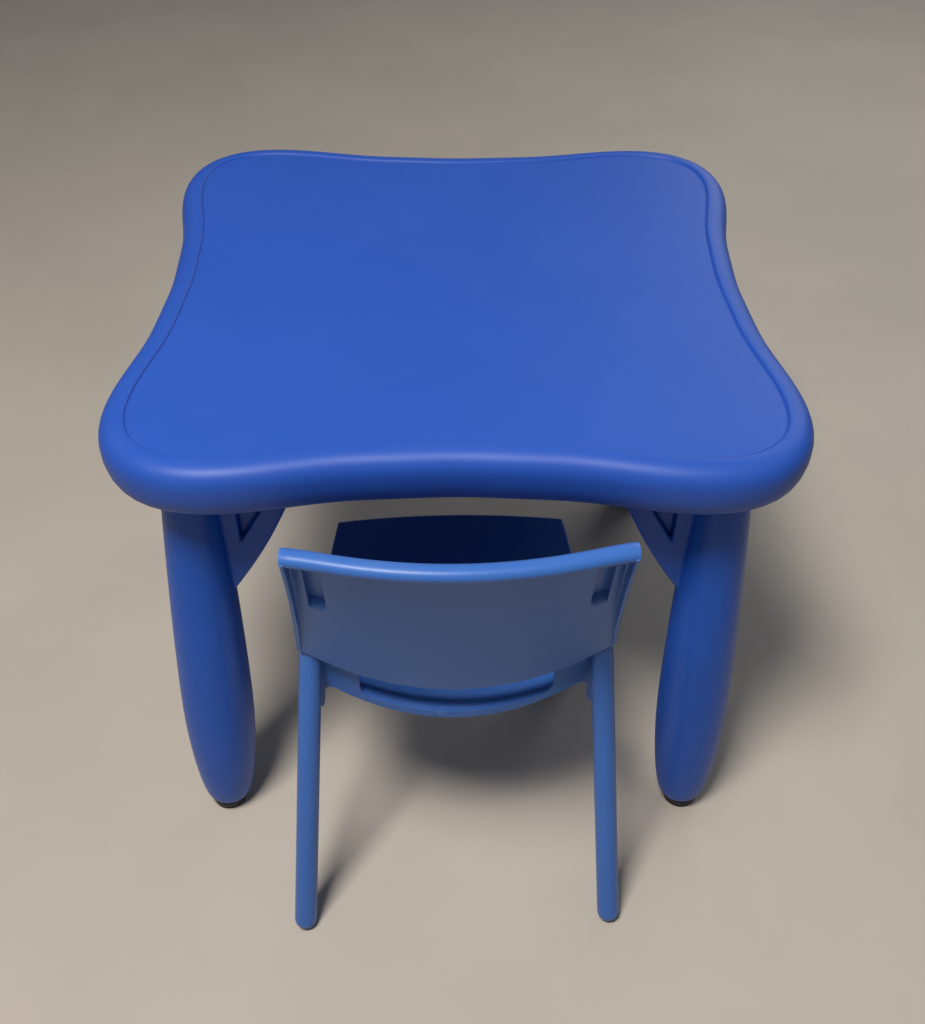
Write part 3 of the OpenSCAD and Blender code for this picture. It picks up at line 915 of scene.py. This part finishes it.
chair_legs = []
glide_forms = {}
for corner, (fx, fy) in chair_foot.items():
    start = (fx, fy, CHAIR_LEG_R)
    end = chair_top[corner]
    length = (Vector(end) - Vector(start)).length
    cap = math.asin(GLIDE_SHARE)
    rings = [circle(CHAIR_LEG_R * math.cos(cap) - 1.2, -GLIDE_SHARE * CHAIR_LEG_R + 0.4, 40)]
    rings += [circle(CHAIR_LEG_R * math.cos(cap), -GLIDE_SHARE * CHAIR_LEG_R, 40)]
    for i in range(1, 8):
        a = cap * (1 - i / 7)
        rings.append(circle(CHAIR_LEG_R * math.cos(a), -CHAIR_LEG_R * math.sin(a), 40))
    for i in range(1, 15):
        rings.append(circle(mix(CHAIR_LEG_R, CHAIR_LEG_TOP_R, i / 14), length * i / 14, 40))
    chair_legs.append(loft("chair_leg", [aimed(r, start, end) for r in rings]))
    rings = []
    for i in range(9):
        a = mix(math.radians(88), cap, i / 8)
        rings.append(circle((CHAIR_LEG_R - 0.15) * math.cos(a), -CHAIR_LEG_R * math.sin(a), 40))
    rings.append(circle(CHAIR_LEG_R * math.cos(cap) - 1.0, -GLIDE_SHARE * CHAIR_LEG_R + 0.6, 40))
    glide_forms[corner] = loft("glide_" + corner, [aimed(r, start, end) for r in rings])
print(len(chair_legs), "legs")

# %% Join the chair and set it in its place
chair = joined("chair", back_panel, roll, rear_wall, *chair_legs, seat)
place_x = table_x + chair_off_x * MM
place_y = table_y - chair_back_y * MM
put(chair, place_x, place_y, turn=chair_turn)
smooth(chair, 38)
for glide in glide_forms.values():
    put(glide, place_x, place_y, turn=chair_turn)
    smooth(glide, 40)
count(chair)

# %% [markdown]
# ## Effects that several finishes share
#
# Each effect is a node group with named inputs, built once: a fine moulded skin, a slow drift of
# colour, rubbed edges, dust that settles on what faces up, and hairline scratches.  A group only
# puts out colours and masks; the plastic itself stays in each material.

# %% Node helpers


def new_group(name, inputs, outputs):
    """An empty shader node group with named sockets."""
    group = bpy.data.node_groups.new(name, "ShaderNodeTree")
    for socket, kind, value in inputs:
        made = group.interface.new_socket(name=socket, in_out="INPUT", socket_type=kind)
        made.default_value = value
    for socket, kind in outputs:
        group.interface.new_socket(name=socket, in_out="OUTPUT", socket_type=kind)
    return group, group.nodes.new("NodeGroupInput"), group.nodes.new("NodeGroupOutput")


def maths(tree, operation, a, b=0.5, clamp=False):
    """One Math node's output."""
    made = tree.nodes.new("ShaderNodeMath")
    made.operation = operation
    made.use_clamp = clamp
    for socket, value in zip(made.inputs, (a, b)):
        if isinstance(value, bpy.types.NodeSocket):
            tree.links.new(value, socket)
        else:
            socket.default_value = value
    return made.outputs[0]


def between(tree, value, low, high, out_low=0.0, out_high=1.0):
    """A smooth step of value from low to high."""
    made = tree.nodes.new("ShaderNodeMapRange")
    made.interpolation_type = "SMOOTHSTEP"
    tree.links.new(value, made.inputs["Value"])
    ends = {"From Min": low, "From Max": high, "To Min": out_low, "To Max": out_high}
    for name, number in ends.items():
        if isinstance(number, bpy.types.NodeSocket):
            tree.links.new(number, made.inputs[name])
        else:
            made.inputs[name].default_value = number
    return made.outputs["Result"]


def object_noise(tree, scale, detail=3.0, roughness=0.5, stretch=None):
    """A noise value over the piece; scale is in waves per metre."""
    place = tree.nodes.new("ShaderNodeTexCoord").outputs["Object"]
    if stretch:
        mapping = tree.nodes.new("ShaderNodeMapping")
        tree.links.new(place, mapping.inputs["Vector"])
        mapping.inputs["Rotation"].default_value = stretch[0]
        mapping.inputs["Scale"].default_value = stretch[1]
        place = mapping.outputs["Vector"]
    made = tree.nodes.new("ShaderNodeTexNoise")
    tree.links.new(place, made.inputs["Vector"])
    if isinstance(scale, bpy.types.NodeSocket):
        tree.links.new(scale, made.inputs["Scale"])
    else:
        made.inputs["Scale"].default_value = scale
    made.inputs["Detail"].default_value = detail
    made.inputs["Roughness"].default_value = roughness
    return made.outputs["Fac"]


# %% Moulded skin: a fine orange-peel height
skin_group, g_in, g_out = new_group(
    "moulded_skin",
    [("Grain Scale", "NodeSocketFloat", 900.0), ("Waviness", "NodeSocketFloat", 0.3)],
    [("Height", "NodeSocketFloat")],
)
fine = object_noise(skin_group, g_in.outputs["Grain Scale"], 2.0, 0.55)
wavy = object_noise(skin_group, 22.0, 1.0, 0.4)
height = maths(skin_group, "MULTIPLY_ADD", wavy, g_in.outputs["Waviness"])
height.node.inputs[2].default_value = 0.0
total = maths(skin_group, "ADD", fine, height)
skin_group.links.new(total, g_out.inputs["Height"])

# %% Colour drift: slow patches a shade lighter or darker
drift_group, g_in, g_out = new_group(
    "colour_drift",
    [
        ("Colour", "NodeSocketColor", (0.1, 0.2, 0.6, 1)),
        ("Second Colour", "NodeSocketColor", (0.1, 0.2, 0.6, 1)),
        ("Patches per metre", "NodeSocketFloat", 6.0),
    ],
    [("Colour", "NodeSocketColor")],
)
patches = object_noise(drift_group, g_in.outputs["Patches per metre"], 4.0, 0.55)
blend = drift_group.nodes.new("ShaderNodeMix")
blend.data_type = "RGBA"
drift_group.links.new(between(drift_group, patches, 0.35, 0.65), blend.inputs["Factor"])
drift_group.links.new(g_in.outputs["Colour"], blend.inputs[6])
drift_group.links.new(g_in.outputs["Second Colour"], blend.inputs[7])
drift_group.links.new(blend.outputs[2], g_out.inputs["Colour"])

# %% Rubbed edges: where the surface turns sharply outwards, broken up by noise
edge_group, g_in, g_out = new_group(
    "rubbed_edges",
    [
        ("Start", "NodeSocketFloat", 0.53),
        ("Full", "NodeSocketFloat", 0.6),
        ("Amount", "NodeSocketFloat", 0.6),
    ],
    [("Mask", "NodeSocketFloat")],
)
sharp = edge_group.nodes.new("ShaderNodeNewGeometry").outputs["Pointiness"]
rubbed = between(edge_group, sharp, g_in.outputs["Start"], g_in.outputs["Full"])
broken = between(edge_group, object_noise(edge_group, 60.0, 5.0, 0.65), 0.38, 0.62, 0.35, 1.0)
rubbed = maths(edge_group, "MULTIPLY", rubbed, broken)
rubbed = maths(edge_group, "MULTIPLY", rubbed, g_in.outputs["Amount"], True)
edge_group.links.new(rubbed, g_out.inputs["Mask"])

# %% Settled dust: on faces that look up, in cloudy patches
dust_group, g_in, g_out = new_group(
    "settled_dust",
    [("Amount", "NodeSocketFloat", 0.2)],
    [("Mask", "NodeSocketFloat")],
)
facing = dust_group.nodes.new("ShaderNodeNewGeometry").outputs["Normal"]
split = dust_group.nodes.new("ShaderNodeSeparateXYZ")
dust_group.links.new(facing, split.inputs["Vector"])
upper = between(dust_group, split.outputs["Z"], 0.3, 0.98)
cloud = between(dust_group, object_noise(dust_group, 14.0, 6.0, 0.62), 0.42, 0.72)
specks = between(dust_group, object_noise(dust_group, 700.0, 2.0, 0.5), 0.66, 0.74)
soil = maths(dust_group, "MULTIPLY_ADD", specks, 0.5)
dust_group.links.new(cloud, soil.node.inputs[2])
soil = maths(dust_group, "MULTIPLY", soil, upper)
soil = maths(dust_group, "MULTIPLY", soil, g_in.outputs["Amount"], True)
dust_group.links.new(soil, g_out.inputs["Mask"])

# %% Hairline scratches: two stretched noises that cross
scratch_group, g_in, g_out = new_group(
    "hairline_scratches",
    [("Amount", "NodeSocketFloat", 0.4)],
    [("Mask", "NodeSocketFloat")],
)
one_way = object_noise(scratch_group, 60.0, 2.0, 0.5, ((0.2, 0.1, 0.7), (1.0, 26.0, 26.0)))
other_way = object_noise(scratch_group, 50.0, 2.0, 0.5, ((0.1, 0.3, -0.5), (30.0, 1.1, 30.0)))
first_lines = between(scratch_group, one_way, 0.70, 0.74)
second_lines = between(scratch_group, other_way, 0.71, 0.75)
lines = maths(scratch_group, "ADD", first_lines, second_lines)
where = between(scratch_group, object_noise(scratch_group, 9.0, 2.0, 0.5), 0.45, 0.6)
lines = maths(scratch_group, "MULTIPLY", lines, where, True)
lines = maths(scratch_group, "MULTIPLY", lines, g_in.outputs["Amount"], True)
scratch_group.links.new(lines, g_out.inputs["Mask"])
print("groups:", [g.name for g in bpy.data.node_groups])

# %% [markdown]
# ## Finishes
#
# Both blues are pigmented plastic, so all their colour is in the base colour, under a clear satin
# surface.  What tells one from the other is the pigment, the gloss and the size of the grain.

# %% A satin plastic


def placed(tree, group, **values):
    """A node group's node, with values set by socket name."""
    made = tree.nodes.new("ShaderNodeGroup")
    made.node_tree = group
    for key, value in values.items():
        made.inputs[key.replace("_", " ")].default_value = value
    return made


def over(tree, base, colour, mask):
    """Colour laid over base where mask says."""
    made = tree.nodes.new("ShaderNodeMix")
    made.data_type = "RGBA"
    tree.links.new(mask, made.inputs["Factor"])
    tree.links.new(base, made.inputs[6])
    made.inputs[7].default_value = colour
    return made.outputs[2]


SHINE = 0.3


def satin_plastic(name, colour, second, rubbed_colour, dust_colour, roughness, grain, wear, dust, scratch):
    """A pigmented plastic with skin, drift, rubbed edges, dust and hairlines."""
    material = bpy.data.materials.new(name)
    material.use_nodes = True
    tree = material.node_tree
    plastic = tree.nodes["Principled BSDF"]
    plastic.inputs["Specular IOR Level"].default_value = SHINE
    drift = placed(tree, drift_group, Colour=(*colour, 1), Second_Colour=(*second, 1))
    edges = placed(tree, edge_group, Amount=wear)
    settled = placed(tree, dust_group, Amount=dust)
    hairs = placed(tree, scratch_group, Amount=scratch)
    skin = placed(tree, skin_group, Grain_Scale=grain[0])
    base = over(tree, drift.outputs["Colour"], (*rubbed_colour, 1), edges.outputs["Mask"])
    base = over(tree, base, (*dust_colour, 1), settled.outputs["Mask"])
    tree.links.new(base, plastic.inputs["Base Color"])
    dull = maths(tree, "MULTIPLY_ADD", settled.outputs["Mask"], 0.3)
    tree.links.new(
        between(tree, object_noise(tree, 5.0, 4.0, 0.6), 0.3, 0.7, roughness - 0.02, roughness + 0.02),
        dull.node.inputs[2],
    )
    worn = maths(tree, "MULTIPLY_ADD", hairs.outputs["Mask"], 0.25, True)
    tree.links.new(dull, worn.node.inputs[2])
    tree.links.new(worn, plastic.inputs["Roughness"])
    bump = tree.nodes.new("ShaderNodeBump")
    bump.inputs["Strength"].default_value = 1.0
    bump.inputs["Distance"].default_value = grain[1]
    scored = maths(tree, "MULTIPLY_ADD", hairs.outputs["Mask"], -0.8)
    tree.links.new(skin.outputs["Height"], scored.node.inputs[2])
    tree.links.new(scored, bump.inputs["Height"])
    tree.links.new(bump.outputs["Normal"], plastic.inputs["Normal"])
    return material


table_blue = satin_plastic(
    "table_blue",
    colour=(0.021, 0.083, 0.415),
    second=(0.023, 0.087, 0.43),
    rubbed_colour=(0.07, 0.17, 0.60),
    dust_colour=(0.12, 0.20, 0.48),
    roughness=0.46,
    grain=(1100.0, 0.00003),
    wear=0.35,
    dust=0.03,
    scratch=0.35,
)
leg_blue = satin_plastic(
    "leg_blue",
    colour=(0.008, 0.080, 0.43),
    second=(0.010, 0.085, 0.45),
    rubbed_colour=(0.07, 0.15, 0.50),
    dust_colour=(0.18, 0.22, 0.36),
    roughness=0.38,
    grain=(900.0, 0.00003),
    wear=0.3,
    dust=0.12,
    scratch=0.25,
)
chair_blue = satin_plastic(
    "chair_blue",
    colour=(0.043, 0.142, 0.46),
    second=(0.046, 0.147, 0.475),
    rubbed_colour=(0.18, 0.32, 0.70),
    dust_colour=(0.24, 0.30, 0.45),
    roughness=0.36,
    grain=(1000.0, 0.00003),
    wear=0.4,
    dust=0.10,
    scratch=0.35,
)
foot_black = satin_plastic(
    "foot_black",
    colour=(0.012, 0.012, 0.014),
    second=(0.016, 0.016, 0.018),
    rubbed_colour=(0.06, 0.06, 0.062),
    dust_colour=(0.16, 0.15, 0.14),
    roughness=0.48,
    grain=(1400.0, 0.00004),
    wear=0.5,
    dust=0.35,
    scratch=0.4,
)
pad_black = satin_plastic(
    "pad_black",
    colour=(0.014, 0.014, 0.015),
    second=(0.020, 0.020, 0.021),
    rubbed_colour=(0.07, 0.068, 0.065),
    dust_colour=(0.17, 0.16, 0.15),
    roughness=0.72,
    grain=(1600.0, 0.00006),
    wear=0.5,
    dust=0.4,
    scratch=0.2,
)

# %% Brass and zinc


def turned_metal(name, colour, second, roughness):
    """A turned or plated metal with fine tool lines and a tarnish."""
    material = bpy.data.materials.new(name)
    material.use_nodes = True
    tree = material.node_tree
    metal = tree.nodes["Principled BSDF"]
    metal.inputs["Metallic"].default_value = 1.0
    tarnish = {"Colour": (*colour, 1), "Second_Colour": (*second, 1), "Patches_per_metre": 120.0}
    drift = placed(tree, drift_group, **tarnish)
    tree.links.new(drift.outputs["Colour"], metal.inputs["Base Color"])
    lines = object_noise(tree, 200.0, 3.0, 0.6, ((0, 0, 0), (1.0, 1.0, 12.0)))
    dull = between(tree, lines, 0.3, 0.7, roughness - 0.08, roughness + 0.1)
    tree.links.new(dull, metal.inputs["Roughness"])
    bump = tree.nodes.new("ShaderNodeBump")
    bump.inputs["Distance"].default_value = 0.00003
    tree.links.new(lines, bump.inputs["Height"])
    tree.links.new(bump.outputs["Normal"], metal.inputs["Normal"])
    return material


brass = turned_metal("turned_brass", (0.62, 0.45, 0.18), (0.50, 0.35, 0.14), 0.32)
zinc = turned_metal("zinc_plate", (0.60, 0.61, 0.63), (0.52, 0.53, 0.54), 0.34)

# %% Dress every piece and tie it to its body


def dress(piece, material, body, slot_name, *replaced):
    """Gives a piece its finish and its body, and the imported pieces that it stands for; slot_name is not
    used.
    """
    piece.data.materials.clear()
    piece.data.materials.append(material)
    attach(piece, body)
    if replaced:
        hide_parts(*replaced)


dress(table_top, table_blue, "table", "table_plastic", "tabletop")
for corner in CORNERS:
    dress(table_legs[corner], leg_blue, "table", "table_plastic", "leg_" + corner)
    dress(feet[corner], foot_black, "screw_" + corner, "foot_black", "foot_screw_" + corner)
    dress(pads[corner], pad_black, "pad_" + corner, "pad_rubber", "foot_pad_" + corner)
    dress(glide_forms[corner], pad_black, "chair", "pad_rubber", "chair_glide_" + corner)
dress(chair, chair_blue, "chair", "chair_plastic", "chair_shell")
for name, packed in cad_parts.items():
    if name.startswith("foot_nut") or name == "leg_inserts":
        finish = brass
    elif name == "leg_screws":
        finish = zinc
    else:
        continue
    packed.data.materials.clear()
    packed.data.materials.append(finish)

# %% [markdown]
# ## Floor, light and camera
#
# A plain pale floor, one soft light high up on the near left, a weaker one behind on the right, and
# an even pale surround: enough to show the satin skin and to let the shadows fall to the right.
# The Standard view transform keeps the blues as saturated as the pigments are mixed.

# %% Floor
object_mode_with()
bpy.ops.mesh.primitive_plane_add(size=16)
floor = bpy.context.object
floor.name = "floor"
floor_finish = bpy.data.materials.new("pale_floor")
floor_finish.use_nodes = True
tree = floor_finish.node_tree
stone = tree.nodes["Principled BSDF"]
drift = placed(
    tree,
    drift_group,
    Colour=(0.50, 0.44, 0.37, 1),
    Second_Colour=(0.53, 0.465, 0.39, 1),
    Patches_per_metre=3.0,
)
tree.links.new(drift.outputs["Colour"], stone.inputs["Base Color"])
stone.inputs["Roughness"].default_value = 0.6
floor.data.materials.append(floor_finish)

# %% Lights


def soft_light(name, place, aim, size, power, colour):
    """A square area light at place that faces aim."""
    bpy.ops.object.light_add(type="AREA", location=place)
    light = bpy.context.object
    light.name = name
    light.data.size = size
    light.data.energy = power
    light.data.color = colour
    light.rotation_euler = (Vector(aim) - Vector(place)).to_track_quat("-Z", "Y").to_euler()
    return light


soft_light("key", (-0.55, -1.05, 2.7), (0, -0.1, 0.3), 0.65, 74, (1.0, 0.985, 0.96))
soft_light("fill", (1.5, 2.1, 1.7), (0, 0, 0.2), 1.8, 16, (0.93, 0.96, 1.0))
world = bpy.data.worlds.new("surround")
bpy.context.scene.world = world
world.use_nodes = True
world.node_tree.nodes["Background"].inputs["Color"].default_value = (0.80, 0.87, 1.0, 1)
world.node_tree.nodes["Background"].inputs["Strength"].default_value = 0.11

# %% Camera
camera_data = bpy.data.cameras.new("camera")
camera_data.sensor_width = 36.0
camera_data.lens = 39.896
camera = bpy.data.objects.new("camera", camera_data)
bpy.context.scene.collection.objects.link(camera)
camera.location = (table_x - 0.00756, table_y - 0.97887, 1.07811)
look_down = Euler((math.radians(90 - 41.916), 0, math.radians(-0.951))).to_matrix()
camera.rotation_euler = (look_down @ Matrix.Rotation(math.radians(0.6165), 3, "Z")).to_euler()
bpy.context.scene.camera = camera
bpy.context.scene.view_settings.view_transform = "Standard"
